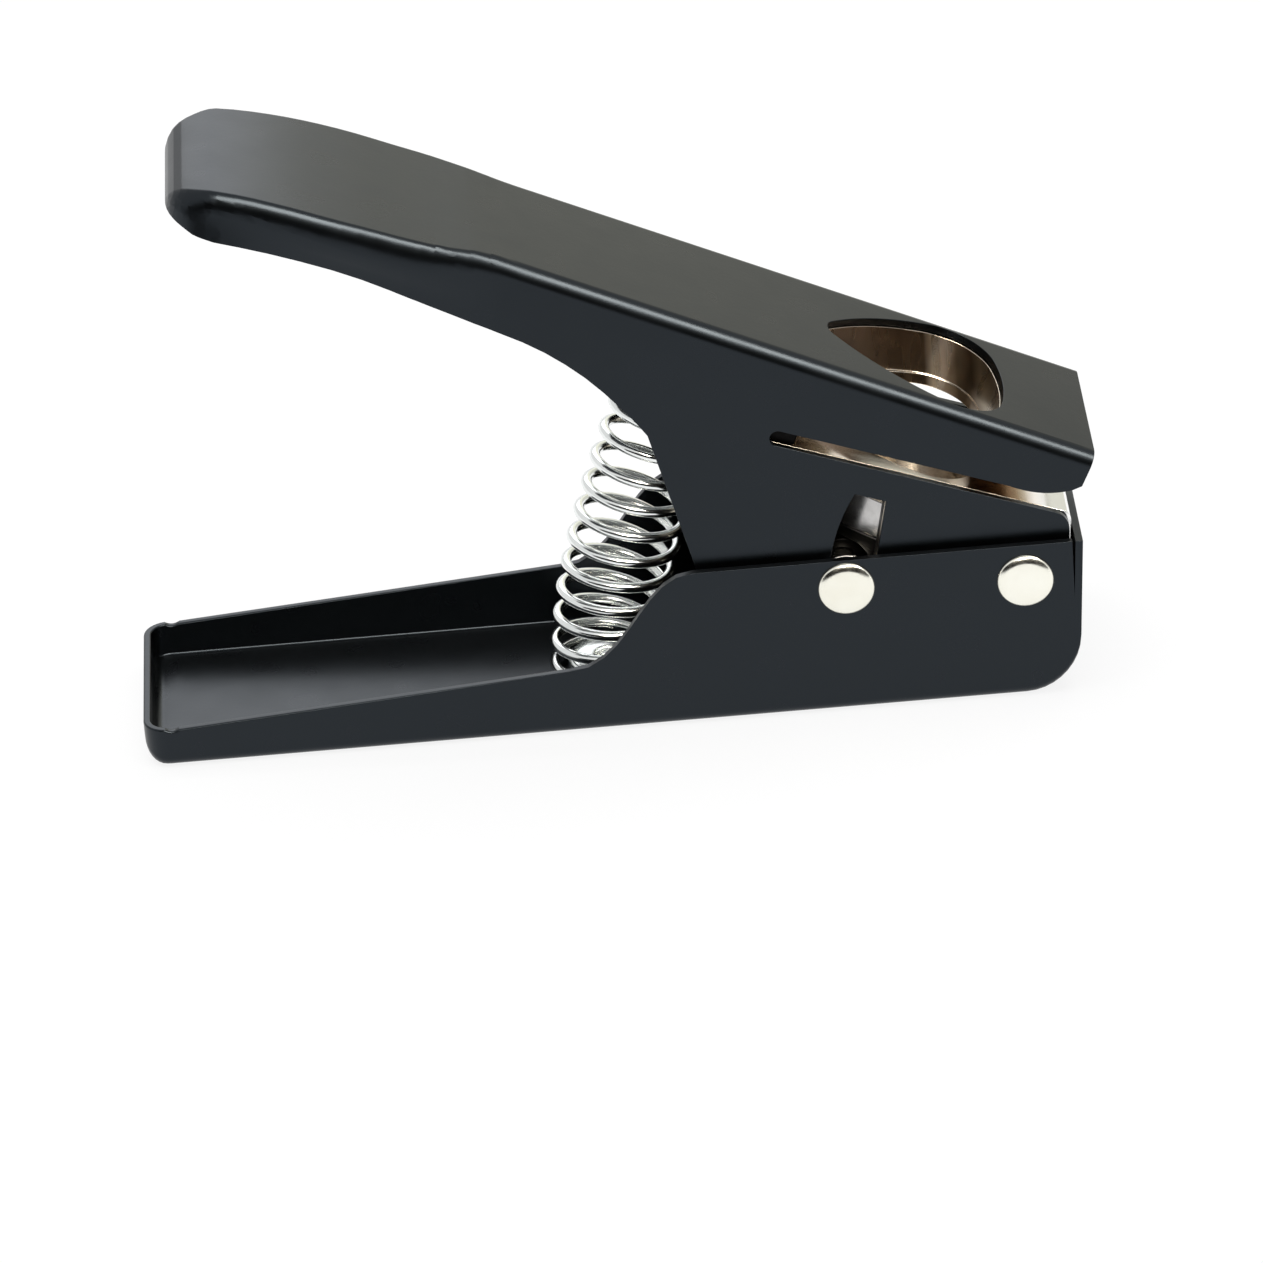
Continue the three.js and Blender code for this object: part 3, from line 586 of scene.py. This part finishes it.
def draw_grip(shape):
    """Gives the grip the shape that deep drawing leaves: a lower and wider crown."""
    cut_grip(shape)
    crest = grip_crest(shape)
    for vert in shape.verts:
        x, y, z = vert.co / MM
        if x > GRIP_FRONT:
            continue
        after = next((k for k, point in enumerate(crest) if point[0] > x), len(crest) - 1)
        low, high = crest[max(after - 1, 0)], crest[after]
        share = min(max((x - low[0]) / (high[0] - low[0]), 0), 1) if high[0] > low[0] else 0
        depth = low[1] + (high[1] - low[1]) * share - z
        spot = (x - GRIP_BACK) / GRIP_STEP
        sink, wider = eased(GRIP_SINK, spot), eased(GRIP_WIDER, spot)
        crown = 1 - smooth((depth - CROWN_DEPTH) / (WALL_DEPTH - CROWN_DEPTH))
        back, up = END_CORNER[0] - x, z - END_CORNER[1]
        if back > 0 and up > 0:
            radius = math.hypot(back, up)
            power = END_SQUARENESS
            full = ((back / radius) ** power + (up / radius) ** power) ** (-1 / power)
            x, z = END_CORNER[0] - back * full, END_CORNER[1] + up * full
        vert.co = Vector((x, y * (1 + wider * crown / WEB_HALF), z - sink * crown)) * MM


dressed("lower_handle", "lower_handle_shell", BLACK_COAT, "lower",
        [(CUT_EDGE, CUT_STEPS, on_tray), (CHEEK_EDGE, FINE_STEPS, on_cheeks)],
        [plane(across(place.x, place.z), 0) for place in (PIVOT, DRIVE)] + [plane(UPPER, 1)])
dressed("upper_handle", "upper_handle_shell", BLACK_COAT, "upper",
        [(FINE_EDGE, FINE_STEPS, None)],
        [plane(UPPER, 0), plane(UPPER, 0, ARC_SLOT), plane(UPPER, 1), plane_across(GRIP_FRONT)],
        draw_grip)


# Rivets, roller and washers

def add_rivet(name, node, centre):
    """A rivet with two domed heads, each of three tangent arcs round a small dimple."""
    seat = WALL_OUTER + RIVET_HEAD_GAP
    radius, height, start = 0, seat + RIVET_CROWN, 0
    dome = [(0, height - DIMPLE_DEPTH), (RIVET_DIMPLE - DIMPLE_WALL, height - DIMPLE_DEPTH)]
    for bend, slope in RIVET_ARCS:
        for k in range(1, ARC_STEPS + 1):
            turn = math.radians(start + (slope - start) * k / ARC_STEPS)
            before = math.radians(start)
            point = (radius + bend * (math.sin(turn) - math.sin(before)),
                     height - bend * (math.cos(before) - math.cos(turn)))
            if point[0] > RIVET_DIMPLE:
                dome.append(point)
        radius, height = point
        start = slope
    half = [(PIN_RADIUS, seat), (radius, seat)] + list(reversed(dome))
    section = [(radius, -height) for radius, height in reversed(half)] + half
    turned(name, section, across(centre.x, centre.z), RIVET_ZINC, "lower", [node])


def add_ring(name, node, outer, edge, material):
    """A roller or a washer, as long as its CAD node."""
    low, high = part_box(node)
    centre = (low + high) / 2
    near, far = low.y / MM, high.y / MM
    section = [(PIN_BORE, near), (outer, near), (outer, far), (PIN_BORE, far), (PIN_BORE, near)]
    turned(name, section, across(centre.x, centre.z), material, "lower", [node], edge)


add_rivet("front_rivet", "pivot_rivet", PIVOT)
add_rivet("rear_rivet", "drive_rivet", DRIVE)
# The roller is dark as painted shade inside the carrier's cross slot
add_ring("roller", "drive_roller", ROLLER_RADIUS, ROLLER_EDGE, DARK_STEEL_AND_SHADE)
for joint in ("pivot", "drive"):
    for side in ("near", "far"):
        add_ring(f"{joint}_washer_{side}", f"washer_{joint}_{side}", WASHER_RADIUS, WASHER_EDGE,
                 TOOL_STEEL)


# Die, guide, card stop and punch

def in_die(centre, normal):
    """A face's place in the die's frame, in millimetres, and how level it lies there."""
    return DIE.inverted() @ centre / MM, abs(normal.dot(DIE.to_3x3().col[2]))


def in_bore(centre, normal):
    """Whether a face lies on the wall of the bore, which takes painted bands of reflection and
    shade.
    """
    place, level = in_die(centre, normal)
    return (level < BORE_STEEPNESS and BORE_ENDS[0] < place.x < BORE_ENDS[1]
            and abs(place.y) < BORE_HALF)


def in_slot(centre, normal):
    """Whether a face lies on the floor or the roof of the card slot, or on the nose, which take
    painted shade and a painted reflection.
    """
    place, level = in_die(centre, normal)
    flat = level > SLOT_FLATNESS and SLOT_HEIGHTS[0] < place.z < SLOT_HEIGHTS[1]
    return flat or place.x > NOSE


def in_arc_slot(centre, normal):
    """Whether a face of the guide lies on the wall of an arc slot, which is painted near-black as
    shade.
    """
    place = in_die(centre, normal)[0]
    return (abs(normal.y) < ARC_SLOT_STEEPNESS and place.z < ARC_SLOT_TOP
            and ARC_SLOT_ENDS[0] < place.x < ARC_SLOT_ENDS[1] and abs(place.y) > ARC_SLOT_INNER)


middle = plane(UPPER, 1)
fasteners = plane(DIE, 0, FASTENERS)
screws = plane(DIE, 0, PUNCH_SCREWS)
die = dressed("die_block", "die", NICKEL, "upper", [(DIE_EDGE, FINE_STEPS, None)],
              [middle, fasteners] + [plane(DIE, 0, reach) for reach in BORE_CUTS])
# The card slot's faces and the nose take painted shade and a painted white reflection
repaint(die, SLOT_PAINTED_LIGHT, in_slot)
# The walls of the bore take painted bands of reflection and shade
repaint(die, BORE_PAINTED_LIGHT, in_bore)
guide = dressed("guide_block", "guide", NICKEL, "upper",
                [(GUIDE_EDGE, FINE_STEPS, None)],
                [middle, fasteners, plane(UPPER, 0), plane(UPPER, 0, ARC_SLOT)])
# The card slot's faces and the nose take painted shade and a painted white reflection
repaint(guide, SLOT_PAINTED_LIGHT, in_slot)
# The walls of the guide's arc slots are painted near-black as shade
repaint(guide, PAINTED_SHADE_STEEL, in_arc_slot)
dressed("card_stop", "card_slot_end", DARK_STEEL_AND_SHADE, "upper",
        [(STOP_EDGE, FINE_STEPS, None)], [middle, fasteners])
dressed("punch_head", "punch", TOOL_STEEL, "punch",
        [(PUNCH_EDGE, FINE_STEPS, None)], [screws])
# The carrier is near-black as painted shade below the bright face seen through the arc slots
dressed("punch_carrier", "carrier", PAINTED_SHADE_STEEL, "punch",
        [(CARRIER_EDGE, FINE_STEPS, None)], [screws, middle])


def add_screw(name, node, body, flip):
    """A socket screw along the punch's way, with its head on top, or below when flipped."""
    low, high = span(node, DIE)
    place = DIE @ Matrix.Translation((low + high) / 2 * MM)
    top = (high.z - low.z) / 2
    neck = top - SCREW_HEAD_HEIGHT
    section = [(0, -top), (SCREW_RADIUS - SCREW_TIP_WIDTH, -top),
               (SCREW_RADIUS, SCREW_TIP_HEIGHT - top), (SCREW_RADIUS, neck),
               (SCREW_HEAD_RADIUS, neck), (SCREW_HEAD_RADIUS, top - SCREW_HEAD_EDGE),
               (SCREW_HEAD_RADIUS - SCREW_HEAD_EDGE, top), (SOCKET_RADIUS, top),
               (SOCKET_RADIUS, top - SOCKET_DEPTH), (0, top - SOCKET_DEPTH)]
    turned(name, section, flipped(place) if flip else place, DARK_STEEL_AND_SHADE, body, [node])


def add_dowel(name, node):
    """A dowel along the punch's way, with a bevelled tip at both ends."""
    low, high = span(node, DIE)
    place = DIE @ Matrix.Translation((low + high) / 2 * MM)
    top = (high.z - low.z) / 2
    tip = DOWEL_RADIUS - DOWEL_TIP
    section = [(0, -top), (tip, -top), (DOWEL_RADIUS, DOWEL_TIP - top),
               (DOWEL_RADIUS, top - DOWEL_TIP), (tip, top), (0, top)]
    turned(name, section, place, TOOL_STEEL, "upper", [node])


for side in ("near", "far"):
    add_screw(f"die_screw_{side}", f"clamp_screw_{side}", "upper", False)
    add_screw(f"carrier_screw_{side}", f"punch_screw_{side}", "punch", True)
    add_dowel(f"die_dowel_{side}", f"dowel_{side}")


# Spring and its seats

def spring_axis():
    """Both ends of the spring's bowed middle line, and points along it, in millimetres."""
    under = WEB_HEIGHT - SHEET
    sine, cosine = math.sin(OPEN_PITCH), math.cos(OPEN_PITCH)
    foot = Vector((SPRING_FOOT, 0, SHEET))
    head = UPPER @ (Vector((SPRING_LEAN - SPRING_SEAT, 0, under)) * MM) / MM
    return foot, head, interpolate_bezier(
        foot, foot + Vector((0, 0, FOOT_BOW)), head - Vector((sine, 0, cosine)) * HEAD_BOW, head,
        LINE_POINTS)


def spring_heights(length):
    """How far up the middle line each step of the wire lies: close at the ends, open between."""
    steps = round(SPRING_TURNS * STEPS_PER_TURN)
    turn = SPRING_TURNS / steps
    openness = [smooth(((min(k, steps - 1 - k) + 0.5) * turn - END_TURNS) / END_BLEND)
                * (1 + SPRING_OPENING * (k / steps - SPRING_EVEN)) for k in range(steps)]
    rise = (length - 2 * SPRING_REST - END_PITCH * SPRING_TURNS) / sum(openness)
    heights = [SPRING_REST]
    for share in openness:
        heights.append(heights[-1] + END_PITCH * turn + rise * share)
    return heights, turn


def spring_wire():
    """Points along the wire, in millimetres, and the two ends of its middle line."""
    foot, head, axis = spring_axis()
    reach = [0.0]
    for a, b in zip(axis, axis[1:]):
        reach.append(reach[-1] + (b - a).length)
    heights, turn = spring_heights(reach[-1])
    radius = (SPRING_WIDTH - SPRING_WIRE) / 2
    wire = []
    spot = 0
    for k, height in enumerate(heights):
        while reach[spot + 1] < height:
            spot += 1
        share = (height - reach[spot]) / (reach[spot + 1] - reach[spot])
        centre = axis[spot].lerp(axis[spot + 1], share)
        along = (axis[spot + 1] - axis[spot]).normalized()
        angle = SPRING_START + k * turn * math.tau
        side = Vector((along.z, 0, -along.x))
        spoke = side * math.cos(angle) + Vector((0, 1, 0)) * math.sin(angle)
        wire.append(centre + radius * spoke)
    wire.insert(0, wire[0] + (wire[0] - wire[1]).normalized() * SPRING_WIRE)
    wire.append(wire[-1] + (wire[-1] - wire[-2]).normalized() * SPRING_WIRE)
    return wire, foot, head


def add_spring():
    """Draws the wire as a round curve, then keeps its mesh."""
    wire, foot, head = spring_wire()
    curve = bpy.data.curves.new("spring_line", "CURVE")
    curve.dimensions = "3D"
    curve.bevel_depth = SPRING_WIRE / 2 * MM
    curve.bevel_resolution = WIRE_ROUNDING
    curve.use_fill_caps = True
    line = curve.splines.new("POLY")
    line.points.add(len(wire) - 1)
    for point, place in zip(line.points, wire):
        point.co = (*(place * MM), 1)
    drawn = bpy.data.objects.new("spring_line", curve)
    bpy.context.collection.objects.link(drawn)
    solid = drawn.evaluated_get(bpy.context.evaluated_depsgraph_get())
    shape = bmesh.new()
    shape.from_mesh(bpy.data.meshes.new_from_object(solid))
    bpy.data.objects.remove(drawn)
    merge(shape)
    coil = piece("coil_spring", shape, SPRING_ZINC, None, ["return_spring"],
                 smooth_to=50)
    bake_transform(coil)


turned("lower_seat", SEAT_SECTION, Matrix.Translation(Vector((SPRING_FOOT, 0, SHEET)) * MM),
       SPRING_ZINC, "lower", ["lower_spring_seat"])
upper_seat = Vector((-SPRING_SEAT, 0, WEB_HEIGHT - SHEET - SEAT_GAP)) * MM
turned("upper_seat", SEAT_SECTION, flipped(UPPER @ Matrix.Translation(upper_seat)),
       SPRING_ZINC, "upper", ["upper_spring_seat"])
add_spring()


# Studio: a white floor and surround, three soft lamps, and three cards that only gloss shows

def seen_rays(tree, path):
    """1 for rays from the camera, and for those that gloss and glass send out."""
    first = tree.nodes.new("ShaderNodeMath")
    first.operation = "ADD"
    second = tree.nodes.new("ShaderNodeMath")
    second.operation = "ADD"
    second.use_clamp = True
    tree.links.new(path.outputs["Is Camera Ray"], first.inputs[0])
    tree.links.new(path.outputs["Is Glossy Ray"], first.inputs[1])
    tree.links.new(first.outputs[0], second.inputs[0])
    tree.links.new(path.outputs["Is Transmission Ray"], second.inputs[1])
    return second.outputs[0]


def lit_material(name, strength, albedo, tint=(1, 1, 1)):
    """A glow where it is seen, over a plain surface that takes light and so the object's shadow."""
    material = bpy.data.materials.new(name)
    material.use_nodes = True
    tree = material.node_tree
    tree.nodes.clear()
    output = tree.nodes.new("ShaderNodeOutputMaterial")
    path = tree.nodes.new("ShaderNodeLightPath")
    diffuse = tree.nodes.new("ShaderNodeBsdfDiffuse")
    diffuse.inputs["Color"].default_value = (albedo, albedo, albedo, 1)
    glow = tree.nodes.new("ShaderNodeEmission")
    glow.inputs["Color"].default_value = (*tint, 1)
    total = tree.nodes.new("ShaderNodeAddShader")
    rays = seen_rays(tree, path)
    share = tree.nodes.new("ShaderNodeMath")
    share.operation = "MULTIPLY"
    share.inputs[1].default_value = strength
    tree.links.new(rays, share.inputs[0])
    tree.links.new(share.outputs[0], glow.inputs["Strength"])
    tree.links.new(diffuse.outputs[0], total.inputs[0])
    tree.links.new(glow.outputs[0], total.inputs[1])
    tree.links.new(total.outputs[0], output.inputs["Surface"])
    return material


def stage_plane(name, width, depth, place, material):
    """A flat sheet of the studio."""
    shape = bmesh.new()
    bmesh.ops.create_grid(shape, x_segments=1, y_segments=1, size=0.5)
    bmesh.ops.scale(shape, vec=(width, depth, 1), verts=shape.verts)
    bmesh.ops.transform(shape, matrix=place, verts=shape.verts)
    mesh = bpy.data.meshes.new(name)
    shape.to_mesh(mesh)
    shape.free()
    mesh.materials.append(material)
    made = bpy.data.objects.new(name, mesh)
    bpy.context.collection.objects.link(made)
    return made


def add_card(name, width, height, place, material):
    """An upright card that only gloss shows."""
    upright = Matrix.Translation(place) @ Matrix.Rotation(math.radians(90), 4, "X")
    card = stage_plane(name, width, height, upright, material)
    card.visible_camera = False
    card.visible_diffuse = False
    card.visible_shadow = False
    card.visible_transmission = False


def softbox(name, radiance, width, depth, place, aim, gloss_only=False, gloss=True, tint=(1, 1, 1)):
    """An area lamp that points at a place."""
    data = bpy.data.lights.new(name, "AREA")
    data.color = tint
    data.shape = "RECTANGLE"
    data.size = width
    data.size_y = depth
    data.energy = radiance * width * depth * LAMP_WATTS
    lamp = bpy.data.objects.new(name, data)
    lamp.location = place
    lamp.rotation_euler = (Vector(aim) - Vector(place)).to_track_quat("-Z", "Y").to_euler()
    lamp.visible_diffuse = not gloss_only
    lamp.visible_glossy = gloss
    bpy.context.collection.objects.link(lamp)


def add_surround():
    """A soft light from all round, which is white where it is seen."""
    world = bpy.data.worlds.new("studio")
    bpy.context.scene.world = world
    world.use_nodes = True
    tree = world.node_tree
    tree.nodes.clear()
    output = tree.nodes.new("ShaderNodeOutputWorld")
    path = tree.nodes.new("ShaderNodeLightPath")
    back = tree.nodes.new("ShaderNodeBackground")
    level = tree.nodes.new("ShaderNodeMapRange")
    level.inputs["To Min"].default_value = SURROUND_LIGHT
    level.inputs["To Max"].default_value = SURROUND_SEEN
    tree.links.new(seen_rays(tree, path), level.inputs["Value"])
    tree.links.new(level.outputs["Result"], back.inputs["Strength"])
    tree.links.new(back.outputs[0], output.inputs["Surface"])


def add_studio():
    floor = lit_material("floor_white", strength=0.86, albedo=0.18)
    stage_plane("floor", width=8, depth=8, place=Matrix.Translation((0, 0, -FLOOR_DROP)),
                material=floor)
    dark = lit_material("card_black", strength=0.0, albedo=0.0)
    warm = lit_material("card_warm", strength=1.0, albedo=0.0, tint=(1, 0.985, 0.85))
    dim = lit_material("card_dim", strength=0.72, albedo=0.0, tint=(1, 0.99, 0.88))
    add_card("front_card", width=1.6, height=0.34, place=(0, -0.42, 0.17), material=dark)
    add_card("back_card", width=0.25, height=0.9, place=(0.275, 0.9, 0.45), material=warm)
    add_card("side_card", width=1.1, height=0.9, place=(0.95, 0.9, 0.45), material=dim)
    add_surround()
    softbox("overhead", radiance=1.9, width=1.5, depth=1.5, place=(0, 0.2, 1.6), aim=(0, 0, 0),
            gloss=False)
    softbox("front_strip", radiance=13, width=1.3, depth=0.38, place=(0.35, -0.55, 0.88),
            aim=(0, 0, 0.06), gloss_only=True, tint=(1, 0.93, 0.82))
    softbox("back_window", radiance=1.05, width=0.62, depth=0.7, place=(-0.04, 0.85, 0.58),
            aim=(0, 0, 0.08), gloss_only=True, tint=(0.97, 0.98, 1))


add_studio()
bpy.context.scene.view_settings.view_transform = "Standard"
